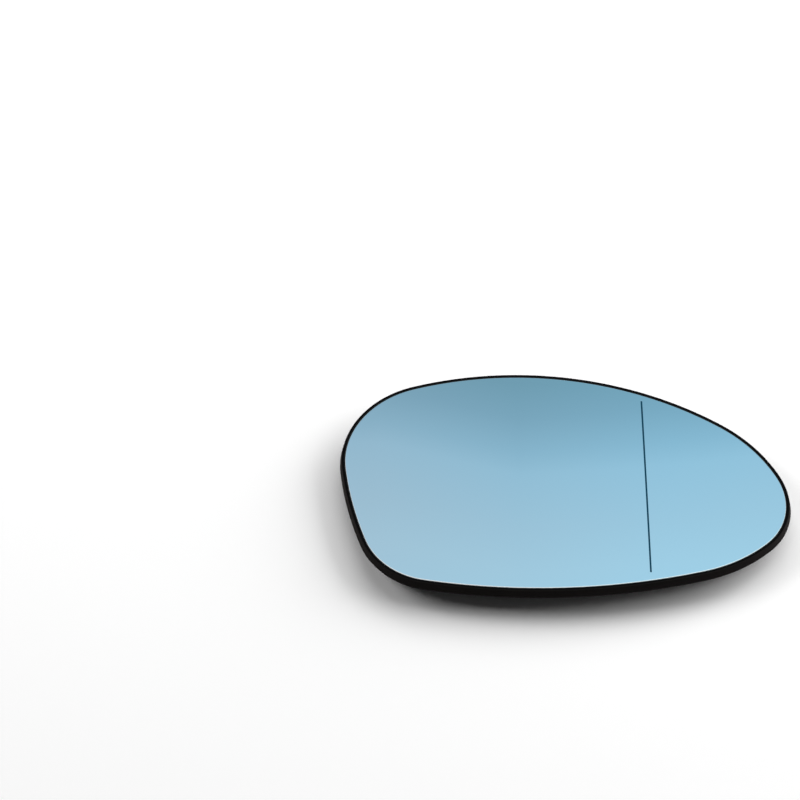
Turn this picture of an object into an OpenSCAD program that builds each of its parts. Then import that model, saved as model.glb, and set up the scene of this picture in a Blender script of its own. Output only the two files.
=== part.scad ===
// Right-hand door mirror glass: blue aspheric glass on a heater pad, bonded into a black
// moulded carrier that clips onto the mirror motor. Millimetres, +Z up, glass upwards, standing
// on the foot of its motor socket. The origin is under the middle of the outline.

/* [Glass outline] */
// Length of the glass, from its inner end to its tip
glass_length = 178; // [172:1:184]
// Height of the glass, from its lower edge to its upper edge
glass_height = 106; // [102:1:110]
// Direction in which the edge faces where the tip begins, at its lower end, in degrees
tip_from = -47; // [-57:1:-38]
// Radius of the tip
tip_r = 28.5; // [24:0.5:33]
// Angle through which the tip turns
tip_turn = 73; // [62:0.5:84]
// Radius of the upper edge where it bends away from the tip
upper_bend_r = 62; // [52:1:74]
// Angle through which that bend turns
upper_bend_turn = 30; // [25:0.5:36]
// Radius of the long upper edge
upper_edge_r = 152; // [136:1:172]
// Angle through which the upper edge turns
upper_edge_turn = 49.5; // [43:0.5:56]
// Radius of the upper inner corner
upper_corner_r = 37.5; // [32:0.5:44]
// Angle through which the upper inner corner turns
upper_corner_turn = 82; // [74:0.5:90]
// Angle through which the inner end turns
inner_edge_turn = 13; // [11:0.5:16]
// Radius of the lower inner corner
lower_corner_r = 31.5; // [27:0.5:36]
// Angle through which the lower inner corner turns
lower_corner_turn = 58.5; // [50:0.5:66]
// Angle through which the long lower edge turns
lower_edge_turn = 26.5; // [22:0.5:31]
// Radius of the lower edge where it bends up to the tip
lower_bend_r = 62; // [53:0.5:72]
// Angle through which that bend turns
lower_bend_turn = 27.5; // [22:0.5:33]

/* [Glass] */
// Thickness of the glass
glass_thickness = 2; // [1.8:0.1:2.4]
// Width of the ground bevel on the front edge of the glass
glass_bevel = 0.3; // [0.2:0.05:0.5]
// Radius of curvature of the main field
main_radius = 1400; // [1200:50:1800]
// Radius of curvature that the wide-angle field reaches at the tip
wide_radius = 350; // [300:10:500]
// Distance of the dividing line from the tip's end
line_inset = 56; // [52:0.5:60]
// Length of the dividing line
line_length = 85.5; // [80:0.5:88]
// How far the middle of the dividing line lies below the middle of the glass
line_drop = 2.7; // [1:0.1:4]
// Width of the dividing line
line_width = 0.7; // [0.5:0.1:1]
// Depth to which the dividing line is etched
line_depth = 0.1; // [0.05:0.05:0.2]

/* [Heater] */
// Thickness of the heater pad, a heating foil on its adhesive foam
pad_thickness = 0.8; // [0.6:0.1:1.2]
// How far the heater pad stays inside the edge of the glass
pad_margin = 1.5; // [1:0.5:3]
// Width of a heater blade
blade_width = 6.3; // [4.8:0.1:6.5]
// Thickness of a heater blade and its foot
blade_thickness = 0.8; // [0.5:0.1:0.8]
// Length of a heater blade below its foot
blade_length = 8.5; // [7:0.5:9.5]
// Length of the foot that is fixed to the heater pad
blade_foot = 6; // [5:0.5:8]
// Bevel on the end of a blade
blade_bevel = 1; // [0.5:0.1:1.5]
// Radius of the hole in a blade
blade_hole_r = 0.9; // [0.6:0.1:1.1]
// How far the hole lies from the end of the blade
blade_hole_inset = 3; // [2.5:0.1:4]
// Distance of the two blades from the axis of the socket
blade_distance = 52; // [51:0.5:54]
// Distance between the two blades
blade_spacing = 16; // [14:0.5:17]

/* [Carrier] */
// Distance from the foot of the socket to the highest point of the glass
total_height = 15; // [14.5:0.5:17]
// Thickness of the plate
plate_thickness = 1.5; // [1.2:0.1:2]
// Thickness of the rim beside the glass, at its top
rim_thickness = 1; // [0.9:0.05:1.2]
// How far the outside of the rim stands out further at the step than at its top
rim_flare = 0.8; // [0.6:0.05:1]
// Height of the rim above the edge of the glass
rim_proud = 0.15; // [0:0.05:0.3]
// Radius of the rounded top of the rim
rim_round = 0.4; // [0.3:0.05:0.45]
// Depth of the rim below the face of the glass
rim_depth = 5.3; // [5.1:0.1:6]
// Depth of the step in the outside of the rim
step_depth = 3.2; // [2.8:0.1:3.6]
// How far the rim below the step is set back
step_setback = 0.5; // [0.3:0.05:0.6]
// How far the foot of the rim draws in below the step
rim_taper = 0.4; // [0.2:0.05:0.6]
// Thickness of the skirt below the plate
skirt_thickness = 1.6; // [1.2:0.1:2]
// Thickness of the ribs
rib_thickness = 1.2; // [1:0.1:1.6]
// Height of the ribs below the plate
rib_height = 3; // [2:0.5:4]
// Length over which the ribs run out towards the rim
rib_runout = 12; // [8:1:16]
// How far the ends of the ribs stay above the foot of the rim
rib_end_rise = 0.2; // [0.1:0.1:0.5]
// Number of ribs that radiate from the socket
radial_ribs = 12; // [8:2:16]
// Radius of the inner ring rib
inner_ring_r = 44.5; // [43:0.5:46]
// Radius of the outer ring rib
outer_ring_r = 66; // [60:1:72]

/* [Motor socket] */
// Distance of the socket's axis from the middle of the outline, towards the inner end
socket_inset = 4.5; // [2:0.5:6]
// Distance of the socket's axis below the middle of the outline
socket_drop = 1.5; // [0:0.5:3]
// Radius inside the beads that grip the motor
bead_r = 29; // [28:0.5:30]
// How far the beads stand in from the fingers
bead_proud = 1; // [0.6:0.1:1.4]
// Height of the straight part of a bead
bead_height = 2; // [1.5:0.1:2.5]
// Height of the lead-in below a bead
bead_lead = 1.2; // [0.8:0.1:1.6]
// Thickness of the fingers
finger_thickness = 2.2; // [1.8:0.1:2.6]
// Number of fingers
fingers = 8; // [6:1:12]
// Width of the slots between the fingers
slot_width = 2.5; // [2:0.1:3]
// Height of the slots
slot_height = 8.5; // [7:0.5:9]
// Diameter of the spring wire
wire_d = 1.8; // [1.4:0.1:2]
// Height of the spring wire's centre above the foot
wire_height = 2.9; // [2.5:0.1:3.5]
// How much of the wire sits in the fingers' groove
wire_bite = 0.6; // [0.4:0.1:0.8]
// Angle that the spring leaves open
spring_gap = 26; // [22:1:36]

/* [Fits] */
// Clearance between the edge of the glass and the rim
edge_gap = 0.3; // [0.2:0.05:0.5]
// Clearance between bonded layers
bond_gap = 0.05; // [0.02:0.01:0.1]
// Clearance of the spring wire in its groove
wire_gap = 0.05; // [0.02:0.01:0.1]
// Clearance round a blade and its foot
blade_gap = 0.4; // [0.3:0.05:0.6]
// Clearance between the foot of a blade and the heater pad
foot_gap = 0.15; // [0.12:0.01:0.2]

/* [Hidden] */

// How far a chord may lie from the arc that it stands for
chord_error = 0.05;
// Sizes of the rings that the curved faces are made of, as shares of the outline
face_rings = [0.3, 0.6, 0.8, 0.9];
rib_rings = [0.3, 0.6];
// Steps along the dividing line
line_steps = 12;
// How far a cutting shape runs past what it cuts
overrun = 1;
// How far joined features are let into each other
overlap = 0.5;
round_fn = 96;
wire_fn = 32;

glass_colour = [0.53, 0.75, 0.86];
pad_colour = [0.78, 0.6, 0.36];
carrier_colour = [0.09, 0.09, 0.1];
spring_colour = [0.66, 0.67, 0.69];
blade_colour = [0.8, 0.76, 0.62];

// Depths below the front face of the glass
pad_top = glass_thickness + bond_gap;
pad_bottom = pad_top + pad_thickness;
plate_top = pad_bottom + bond_gap;
plate_middle = plate_top + plate_thickness / 2;
plate_bottom = plate_top + plate_thickness;
rib_bottom = plate_bottom + rib_height;

// Plan of the dividing line, the socket and the two heater blades
line_x = glass_length / 2 - line_inset;
socket_at = [-socket_inset, -socket_drop];
blade_x = socket_at.x + blade_distance;

// Rise of the curvature, per millimetre past the dividing line, that gives the wide-angle field
wide_rate = (1 / wide_radius - 1 / main_radius) / line_inset;

// Radii of the socket
finger_inner_r = bead_r + bead_proud;
finger_outer_r = finger_inner_r + finger_thickness;
wire_ring_r = finger_outer_r + wire_d / 2 - wire_bite;

// Unit vector in a direction
function towards(angle) = [cos(angle), sin(angle)];

// Sum of the first few members of a list
function sum(list, count) = count == 0 ? 0 * list[0] : list[count - 1] + sum(list, count - 1);

// The edge's eight arcs, anticlockwise from the tip. The radii of the inner end and of the long
// lower edge aren't given, because they are what closes the outline.
inner_edge = 4;
lower_edge = 6;
turns = [
    tip_turn,
    upper_bend_turn,
    upper_edge_turn,
    upper_corner_turn,
    inner_edge_turn,
    lower_corner_turn,
    lower_edge_turn,
    lower_bend_turn,
];
given_radii = [tip_r, upper_bend_r, upper_edge_r, upper_corner_r, 0, lower_corner_r, 0, lower_bend_r];
arc_count = len(turns);
full_turn = sum(turns, arc_count);
bearings = [for (i = [0:arc_count]) tip_from + 360 * sum(turns, i) / full_turn];

// Way along each arc for a radius of one, and what the given arcs leave open
ways = [for (i = [0:arc_count - 1]) towards(bearings[i + 1]) - towards(bearings[i])];
open_way = -sum([for (i = [0:arc_count - 1]) given_radii[i] * ways[i]], arc_count);
closing = cross(ways[inner_edge], ways[lower_edge]);
edge_radii = [
    for (i = [0:arc_count - 1])
        i == inner_edge ? cross(open_way, ways[lower_edge]) / closing
        : i == lower_edge ? cross(ways[inner_edge], open_way) / closing
        : given_radii[i],
];

// The eight arcs as points [x, y, direction], with as many chords as each radius needs
drawn_nodes = [
    for (i = [0:arc_count - 1])
        let (
            start = sum([for (k = [0:arc_count - 1]) edge_radii[k] * ways[k]], i),
            turn = bearings[i + 1] - bearings[i],
            chords = ceil(turn / 2 / acos(1 - chord_error / edge_radii[i]))
        )
        for (j = [0:chords - 1])
            let (
                angle = bearings[i] + turn * j / chords,
                at = start + edge_radii[i] * (towards(angle) - towards(bearings[i]))
            )
            [at.x, at.y, angle],
];
drawn_x = [for (p = drawn_nodes) p.x];
drawn_y = [for (p = drawn_nodes) p.y];
stretch = [glass_length / (max(drawn_x) - min(drawn_x)), glass_height / (max(drawn_y) - min(drawn_y))];

// The edge of the glass at its full length and height, as points [x, y, outward direction]
outline_nodes = [
    for (p = drawn_nodes)
        [
            stretch.x * (p.x - (max(drawn_x) + min(drawn_x)) / 2),
            stretch.y * (p.y - (max(drawn_y) + min(drawn_y)) / 2),
            atan2(sin(p[2]) / stretch.y, cos(p[2]) / stretch.x),
        ],
];

// Fall of the front face along the glass: one radius as far as the dividing line, then tightening
function fall(x) =
    main_radius - sqrt(main_radius ^ 2 - x ^ 2)
    + (x > line_x ? wide_rate * (x - line_x) ^ 3 / 6 : 0);

// Slope of the front face along the glass
function fall_angle(x) = atan(x / main_radius + (x > line_x ? wide_rate * (x - line_x) ^ 2 / 2 : 0));

// Height of the surface that lies a depth below the front face
function face_z(x, y, depth) =
    total_height - main_radius + sqrt((main_radius - fall(x) - depth) ^ 2 - y ^ 2);

// A closed solid lofted round the outline: out from the middle of its top through the rings,
// through the section's points [distance outside the glass, depth below its face], and back in
module lofted(rings, top, section, bottom) {
    levels = concat(
        [for (share = rings) [share, 0, top]],
        [for (s = section) [1, s[0], s[1]]],
        [for (i = [len(rings) - 1:-1:0]) [rings[i], 0, bottom]]
    );
    n = len(outline_nodes);
    m = len(levels);
    points = [
        for (level = levels, p = outline_nodes)
            let (x = level[0] * (p.x + level[1] * cos(p[2])), y = level[0] * (p.y + level[1] * sin(p[2])))
            [x, y, face_z(x, y, level[2])],
        [0, 0, face_z(0, 0, top)],
        [0, 0, face_z(0, 0, bottom)],
    ];
    faces = [
        for (i = [0:n - 1])
            let (k = (i + 1) % n)
            each concat(
                [[n * m, k, i], [n * (m - 1) + i, n * (m - 1) + k, n * m + 1]],
                [for (j = [0:m - 2]) [j * n + i, j * n + k, (j + 1) * n + k]],
                [for (j = [0:m - 2]) [j * n + i, (j + 1) * n + k, (j + 1) * n + i]]
            ),
    ];
    polyhedron(points, faces, convexity = 8);
}

// Sets its children on a surface of the glass, square to it
module on_face(at, depth) {
    translate([at.x, at.y, face_z(at.x, at.y, depth)])
        rotate([-asin(at.y / main_radius), fall_angle(at.x), 0])
            children();
}

// Mirror glass, ground round its front edge, with the dividing line etched in its face
module mirror_glass() {
    color(glass_colour)
        difference() {
            lofted(face_rings, 0, [
                [-glass_bevel, 0],
                [0, glass_bevel],
                [0, glass_thickness],
            ], glass_thickness);
            dividing_line();
        }
}

// The line's cut, which follows the curve of the face
module dividing_line() {
    ends = [-line_drop - line_length / 2, line_length / 2 - line_drop];
    stations = [for (i = [0:line_steps]) ends[0] + line_length * i / line_steps];
    translate([line_x - line_width / 2, 0, 0])
        rotate([90, 0, 90])
            linear_extrude(height = line_width)
                polygon([
                    for (y = stations) [y, face_z(line_x, y, line_depth)],
                    [ends[1], total_height + overrun],
                    [ends[0], total_height + overrun],
                ]);
}

module heater_pad() {
    color(pad_colour)
        lofted(face_rings, pad_top, [[-pad_margin, pad_top], [-pad_margin, pad_bottom]], pad_bottom);
}

function blade_at(side) = [blade_x, socket_at.y + side * blade_spacing / 2];

// Window in the plate for a blade and its foot
module blade_window(side) {
    on_face(blade_at(side), plate_middle)
        translate([-blade_thickness / 2 - blade_gap, -blade_width / 2 - blade_gap, -plate_thickness])
            cube([blade_foot + 2 * blade_gap, blade_width + 2 * blade_gap, 2 * plate_thickness]);
}

// Right-angled blade, with its foot against the heater pad and its tongue below the plate
module heater_blade(side) {
    color(blade_colour)
        on_face(blade_at(side), pad_bottom + foot_gap) {
            translate([-blade_thickness / 2, -blade_width / 2, -blade_thickness])
                cube([blade_foot, blade_width, blade_thickness]);
            difference() {
                rotate([90, 0, -90])
                    linear_extrude(height = blade_thickness, center = true)
                        polygon([
                            [-blade_width / 2, -blade_thickness / 2],
                            [-blade_width / 2, blade_bevel - blade_length],
                            [blade_bevel - blade_width / 2, -blade_length],
                            [blade_width / 2 - blade_bevel, -blade_length],
                            [blade_width / 2, blade_bevel - blade_length],
                            [blade_width / 2, -blade_thickness / 2],
                        ]);
                translate([0, 0, blade_hole_inset - blade_length])
                    rotate([0, 90, 0])
                        cylinder(
                            r = blade_hole_r,
                            h = blade_thickness + 2 * overrun,
                            center = true,
                            $fn = wire_fn
                        );
            }
        }
}

// Plate and rim: up beside the glass, over the rounded lip, down and out to the step, in to the
// tapered skirt and back under the plate
module tray() {
    outer = edge_gap + rim_thickness;
    step = outer + rim_flare;
    lower = step - step_setback;
    skirt_inner = lower - rim_taper - skirt_thickness;
    lofted(face_rings, plate_top, [
        [edge_gap, plate_top],
        [edge_gap, rim_round / 2 - rim_proud],
        [edge_gap + rim_round / 4, -rim_proud],
        for (a = [90:-30:0])
            [outer - rim_round * (1 - cos(a)), rim_round * (1 - sin(a)) - rim_proud],
        [step, step_depth],
        [lower, step_depth + step_setback / 2],
        [lower - rim_taper, rim_depth],
        [skirt_inner, rim_depth],
        [skirt_inner, plate_bottom],
    ], plate_bottom);
}

// A ring rib's wall round the socket's axis
module ring_wall(r) {
    difference() {
        circle(r = r + rib_thickness / 2, $fn = round_fn);
        circle(r = r - rib_thickness / 2, $fn = round_fn);
    }
}

// Ribs under the plate, which run out towards the rim
module ribs() {
    intersection() {
        lofted(rib_rings, plate_middle, [
            [0, plate_middle],
            [0, rim_depth - rib_end_rise],
            [-rib_runout, rib_bottom],
        ], rib_bottom);
        linear_extrude(height = total_height)
            translate(socket_at) {
                for (i = [0:radial_ribs - 1])
                    rotate(360 * (i + 0.5) / radial_ribs)
                        translate([finger_outer_r - overlap, -rib_thickness / 2])
                            square([glass_length, rib_thickness]);
                ring_wall(inner_ring_r);
                ring_wall(outer_ring_r);
            }
    }
}

// One turn of the socket wall: lead-in, gripping bead, finger and the groove for the spring
module socket_wall() {
    top = face_z(0, finger_outer_r, plate_middle);
    bead_top = bead_lead + bead_height;
    rotate_extrude($fn = round_fn)
        difference() {
            polygon([
                [finger_outer_r, 0],
                [finger_outer_r, top],
                [finger_inner_r, top],
                [finger_inner_r, bead_top + bead_proud],
                [bead_r, bead_top],
                [bead_r, bead_lead],
                [finger_inner_r, 0],
            ]);
            translate([wire_ring_r, wire_height]) circle(r = wire_d / 2 + wire_gap, $fn = wire_fn);
        }
}

// Ring of sprung fingers that grips the motor
module socket() {
    translate([socket_at.x, socket_at.y, 0])
        difference() {
            socket_wall();
            for (i = [0:fingers - 1])
                rotate(360 * (i + 0.5) / fingers)
                    translate([bead_r - overrun, -slot_width / 2, -overrun])
                        cube([
                            finger_outer_r - bead_r + 2 * overrun,
                            slot_width,
                            slot_height + overrun,
                        ]);
        }
}

// Black moulded carrier in one piece: tray, ribs and motor socket
module carrier() {
    color(carrier_colour)
        difference() {
            union() {
                tray();
                ribs();
                socket();
            }
            for (side = [-1, 1]) blade_window(side);
        }
}

// Wire spring that closes the fingers, open towards the lower edge
module retaining_spring() {
    color(spring_colour)
        translate([socket_at.x, socket_at.y, wire_height])
            rotate(spring_gap / 2 - 90)
                rotate_extrude(angle = 360 - spring_gap, $fn = round_fn)
                    translate([wire_ring_r, 0]) circle(d = wire_d, $fn = wire_fn);
}

mirror_glass();
heater_pad();
carrier();
retaining_spring();
heater_blade(1);  // heater_blade_upper
heater_blade(-1);  // heater_blade_lower
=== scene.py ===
"""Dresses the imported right-hand door mirror glass and lights it as a product photograph.

Metres, +Z up, the glass upwards, standing on the foot of its motor socket. The origin is under the
middle of the outline. Every piece follows the outline and the double curve of the glass.
"""

from __future__ import annotations

import logging
import math
from dataclasses import dataclass, field
from enum import Enum, IntEnum
from functools import cached_property
from typing import Any, Sequence

import bmesh
import bpy
from bmesh.types import BMEdge, BMesh, BMFace, BMVert
from bpy.types import ColorRamp, Material, NodeSocket, NodeTree, Object
from mathutils import Matrix, Vector

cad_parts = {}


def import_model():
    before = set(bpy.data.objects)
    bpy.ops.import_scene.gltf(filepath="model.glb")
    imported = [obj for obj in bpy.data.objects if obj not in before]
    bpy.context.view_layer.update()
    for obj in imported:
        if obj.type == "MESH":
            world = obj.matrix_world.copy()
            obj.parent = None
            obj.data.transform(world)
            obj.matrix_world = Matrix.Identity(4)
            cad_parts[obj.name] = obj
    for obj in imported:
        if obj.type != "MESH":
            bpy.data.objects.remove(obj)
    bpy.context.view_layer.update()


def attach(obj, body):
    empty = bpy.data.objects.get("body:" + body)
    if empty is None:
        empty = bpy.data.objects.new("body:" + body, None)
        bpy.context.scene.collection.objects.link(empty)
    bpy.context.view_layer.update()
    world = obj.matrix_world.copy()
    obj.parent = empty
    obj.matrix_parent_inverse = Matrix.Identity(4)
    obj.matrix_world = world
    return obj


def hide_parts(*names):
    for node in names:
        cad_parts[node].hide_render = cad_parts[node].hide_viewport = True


LOG = logging.getLogger("door_mirror_glass")

MM = 0.001
BODY = "root"

# Lengths are measured to FINE, points nearer than WELD are one, and HAIR is a rounding error
FINE = 0.01 * MM
WELD = 0.002 * MM
HAIR = 0.001 * WELD

# Edges that turn by more degrees than this stay sharp in the shading
SHARP = 32.0

# Numbers of the Mix node's sockets for colours
FIRST, SECOND, MIXED = 6, 7, 2

Colour = tuple[float, float, float]
Settings = dict[str, Any]


class Slot(str, Enum):
    """Material slots of the record."""

    GLASS = "mirror_glass"
    PAD = "heater_pad"
    CARRIER = "carrier"
    SPRING = "retaining_spring"
    BLADE = "heater_blade"


class Side(IntEnum):
    """Side of the socket's axis on which a heater blade stands."""

    LOWER = -1
    UPPER = 1


class Boolean(str, Enum):
    """Ways in which one closed mesh is combined with another."""

    JOIN = "UNION"
    CUT = "DIFFERENCE"


class GlassFinish(IntEnum):
    """Finishes of the glass, in the order of its materials."""

    COATED = 0
    GROUND = 1
    BACK = 2
    LINE = 3


class CarrierFinish(IntEnum):
    """Finishes of the carrier, in the order of its materials."""

    LIP = 0
    WALL = 1
    BACK = 2


# Shader graphs


class Value:
    """A socket's value in a shader, on which Python's operators build Math nodes."""

    def __init__(self, graph: Graph, socket: NodeSocket) -> None:
        """Wraps an output socket of a graph."""
        self.graph = graph
        self.socket = socket

    def _math(self, operation: str, *operands: Any) -> Value:
        """Adds one Math node with its operands in order."""
        return self.graph.node("ShaderNodeMath", {"operation": operation}, dict(enumerate(operands)))

    def __add__(self, other: Any) -> Value:
        """Adds."""
        return self._math("ADD", self, other)

    __radd__ = __add__

    def __sub__(self, other: Any) -> Value:
        """Subtracts."""
        return self._math("SUBTRACT", self, other)

    def __rsub__(self, other: Any) -> Value:
        """Subtracts from a number."""
        return self._math("SUBTRACT", other, self)

    def __mul__(self, other: Any) -> Value:
        """Multiplies."""
        return self._math("MULTIPLY", self, other)

    __rmul__ = __mul__

    def __truediv__(self, other: Any) -> Value:
        """Divides."""
        return self._math("DIVIDE", self, other)

    def larger(self, other: Any) -> Value:
        """Takes the larger of two values."""
        return self._math("MAXIMUM", self, other)

    def smaller(self, other: Any) -> Value:
        """Takes the smaller of two values."""
        return self._math("MINIMUM", self, other)

    def clamped(self) -> Value:
        """Keeps the value between 0 and 1."""
        return self.larger(0.0).smaller(1.0)


class Graph:
    """The node tree of one material or world."""

    def __init__(self, tree: NodeTree) -> None:
        """Empties a node tree to build in."""
        self.tree = tree
        tree.nodes.clear()

    def node(
        self,
        kind: str,
        settings: Settings,
        inputs: dict[Any, Any],
        output: int | str = 0,
    ) -> Value:
        """Adds one node.

        Args:
            kind: The node's type.
            settings: Its properties, and a ramp's stops under "stops", which are set first.
            inputs: Values or links by socket name or number.
            output: The name or number of the output to return.

        Returns:
            The chosen output.
        """
        node = self.tree.nodes.new(kind)
        for name, setting in settings.items():
            if name == "stops":
                self._set_stops(node.color_ramp, setting)
            else:
                setattr(node, name, setting)
        for name, value in inputs.items():
            if isinstance(value, Value):
                self.tree.links.new(value.socket, node.inputs[name])
            else:
                node.inputs[name].default_value = value
        return Value(self, node.outputs[output])

    @staticmethod
    def _set_stops(ramp: ColorRamp, stops: Sequence[tuple[float, Colour]]) -> None:
        """Gives a ramp its stops.

        Args:
            ramp: The ramp.
            stops: Position and colour of each stop, from low to high.
        """
        while len(ramp.elements) < len(stops):
            ramp.elements.new(1.0)
        for element, (position, colour) in zip(ramp.elements, stops):
            element.position = position
            element.color = (*colour, 1.0)

    def end(self, surface: Value, kind: str = "ShaderNodeOutputMaterial") -> None:
        """Ends the tree with a surface in an output node."""
        last = self.tree.nodes.new(kind)
        self.tree.links.new(surface.socket, last.inputs["Surface"])

    def place(self) -> Value:
        """Gives the place of the shaded point on its object."""
        return self.node("ShaderNodeTexCoord", {}, {}, "Object")

    def ray(self, kind: str) -> Value:
        """Gives 1 for rays of a kind, such as "Is Camera Ray", and 0 for others."""
        return self.node("ShaderNodeLightPath", {}, {}, kind)

    def noise(self, grain: float, detail: float, stretch: Vector | None = None) -> Value:
        """Adds a noise pattern.

        Args:
            grain: Size of its features.
            detail: How many finer octaves it has.
            stretch: How much coarser it is along each axis.

        Returns:
            The noise, about 0.5 on average.
        """
        where = self.place()
        if stretch is not None:
            scale = Vector(1.0 / s for s in stretch)
            where = self.node("ShaderNodeMapping", {}, {"Vector": where, "Scale": scale})
        inputs = {"Vector": where, "Scale": 1.0 / grain, "Detail": detail}
        return self.node("ShaderNodeTexNoise", {}, inputs)

    def blend(self, share: Any, low: Any, high: Any) -> Value:
        """Mixes two colours or links, by the share that the second one has."""
        one, two = ((*c, 1.0) if isinstance(c, tuple) else c for c in (low, high))
        return self.node("ShaderNodeMix", {"data_type": "RGBA"}, {0: share, FIRST: one, SECOND: two}, MIXED)

    def relief(self, height: Value, depth: float) -> Value:
        """Turns a height between 0 and 1, which stands for a depth in metres, into a normal."""
        return self.node("ShaderNodeBump", {}, {"Height": height, "Distance": depth, "Strength": 1.0})


# Finishes


def new_material(name: str) -> tuple[Graph, Material]:
    """Starts a material.

    Args:
        name: The material's name.

    Returns:
        Its empty graph and the material.
    """
    material = bpy.data.materials.new(name)
    material.use_nodes = True
    return Graph(material.node_tree), material


@dataclass(frozen=True)
class Finish:
    """A finish of a piece, which makes one material with a principled surface."""

    name: str

    def surface(self, graph: Graph) -> Settings:
        """Gives the surface's values or links by socket."""
        raise NotImplementedError

    def make(self) -> Material:
        """Builds the material, unless an earlier piece has had it made.

        Returns:
            The material.
        """
        made = bpy.data.materials.get(self.name)
        if made is None:
            graph, made = new_material(self.name)
            graph.end(graph.node("ShaderNodeBsdfPrincipled", {}, self.surface(graph)))
        return made


@dataclass(frozen=True)
class MirrorCoating(Finish):
    """Blue-tinted reflecting coating, seen through the face of the glass."""

    name: str = "blue_mirror_coating"
    tint: Colour = (0.341, 0.606, 0.765)
    tint_between: Colour = (0.351, 0.616, 0.775)
    patch: float = 70 * MM
    haze_patch: float = 21 * MM
    haze: float = 0.01
    roughness: float = 0.015
    sheen_of_glass: float = 0.6
    index_of_glass: float = 1.52

    def surface(self, graph: Graph) -> Settings:
        """Builds what the finish varies by.

        Args:
            graph: The material's graph.

        Returns:
            The surface's values or links by socket.
        """
        tone = graph.noise(self.patch, 1.0)
        return {
            "Base Color": graph.blend(tone, self.tint, self.tint_between),
            "Metallic": 1.0,
            "Roughness": graph.noise(self.haze_patch, 3.0) * self.haze + self.roughness,
            "Coat Weight": self.sheen_of_glass,
            "Coat Roughness": 0.0,
            "Coat IOR": self.index_of_glass,
        }


@dataclass(frozen=True)
class MottledFinish(Finish):
    """A finish whose tone, roughness and relief follow one fine noise."""

    dark: Colour
    light: Colour
    grain: float
    detail: float
    relief: float
    roughness: float
    spread: float = 0.2
    metallic: float = 0.0
    gloss: float = 0.5

    def surface(self, graph: Graph) -> Settings:
        """Builds what the finish varies by.

        Args:
            graph: The material's graph.

        Returns:
            The surface's values or links by socket.
        """
        mottle = graph.noise(self.grain, self.detail)
        return {
            "Base Color": graph.blend(mottle, self.dark, self.light),
            "Metallic": self.metallic,
            "Roughness": mottle * self.spread + self.roughness,
            "Normal": graph.relief(mottle, self.relief),
            "Specular IOR Level": self.gloss,
        }


@dataclass(frozen=True)
class MouldedPlastic(Finish):
    """Black plastic as it comes out of an eroded or a polished mould."""

    shade: Colour
    lit: Colour
    grain: float
    relief: float
    roughness: float
    gloss: float
    flow_grains: float = 60.0
    texture_spread: float = 0.12
    flow_spread: float = 0.1

    def surface(self, graph: Graph) -> Settings:
        """Builds what the finish varies by.

        Args:
            graph: The material's graph.

        Returns:
            The surface's values or links by socket.
        """
        texture = graph.noise(self.grain, 4.0)
        flow = graph.noise(self.flow_grains * self.grain, 2.0)
        least = self.roughness - (self.texture_spread + self.flow_spread) / 2
        return {
            "Base Color": graph.blend(flow, self.shade, self.lit),
            "Roughness": (texture * self.texture_spread + flow * self.flow_spread + least).clamped(),
            "Normal": graph.relief(texture, self.relief),
            "Specular IOR Level": self.gloss,
        }


@dataclass(frozen=True)
class SpringSteel(Finish):
    """Bright drawn spring wire."""

    name: str = "drawn_spring_wire"
    bright: Colour = (0.62, 0.63, 0.65)
    dull: Colour = (0.46, 0.46, 0.47)
    patch: float = 3 * MM
    grain: float = 0.15 * MM
    relief: float = 0.006 * MM
    roughness: float = 0.14
    patch_spread: float = 0.16
    grain_spread: float = 0.1

    def surface(self, graph: Graph) -> Settings:
        """Builds what the finish varies by.

        Args:
            graph: The material's graph.

        Returns:
            The surface's values or links by socket.
        """
        tarnish = graph.noise(self.patch, 3.0)
        drawn = graph.noise(self.grain, 3.0)
        return {
            "Base Color": graph.blend(tarnish, self.dull, self.bright),
            "Metallic": 1.0,
            "Roughness": tarnish * self.patch_spread + drawn * self.grain_spread + self.roughness,
            "Normal": graph.relief(drawn, self.relief),
        }


@dataclass(frozen=True)
class TinnedBrass(Finish):
    """Stamped brass under a matt layer of tin."""

    name: str = "tinned_brass"
    tin: Colour = (0.7, 0.68, 0.63)
    worn: Colour = (0.62, 0.52, 0.34)
    patch: float = 2.2 * MM
    contrast: float = 3.0
    grain: float = 0.2 * MM
    grain_stretch: float = 12.0
    relief: float = 0.006 * MM
    roughness: float = 0.26
    spread: float = 0.2

    def surface(self, graph: Graph) -> Settings:
        """Builds what the finish varies by.

        Args:
            graph: The material's graph.

        Returns:
            The surface's values or links by socket.
        """
        wear = (graph.noise(self.patch, 4.0) * self.contrast - self.contrast / 2).clamped()
        rolled = graph.noise(self.grain, 3.0, Vector((1.0, 1.0, self.grain_stretch)))
        return {
            "Base Color": graph.blend(wear, self.tin, self.worn),
            "Metallic": 1.0,
            "Roughness": rolled * self.spread + self.roughness,
            "Normal": graph.relief(rolled, self.relief),
        }


@dataclass(frozen=True)
class HeaterFoil(Finish):
    """Amber heating foil on its adhesive foam."""

    name: str = "heater_foil_and_foam"
    amber: Colour = (0.46, 0.25, 0.08)
    pale: Colour = (0.58, 0.36, 0.15)
    cell: float = 0.4 * MM
    relief: float = 0.05 * MM
    roughness: float = 0.5
    spread: float = 0.2

    def surface(self, graph: Graph) -> Settings:
        """Builds what the finish varies by.

        Args:
            graph: The material's graph.

        Returns:
            The surface's values or links by socket.
        """
        cells = graph.node("ShaderNodeTexVoronoi", {}, {"Vector": graph.place(), "Scale": 1.0 / self.cell})
        return {
            "Base Color": graph.blend(cells.clamped(), self.amber, self.pale),
            "Roughness": cells * self.spread + self.roughness,
            "Normal": graph.relief(cells, self.relief),
        }


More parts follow.
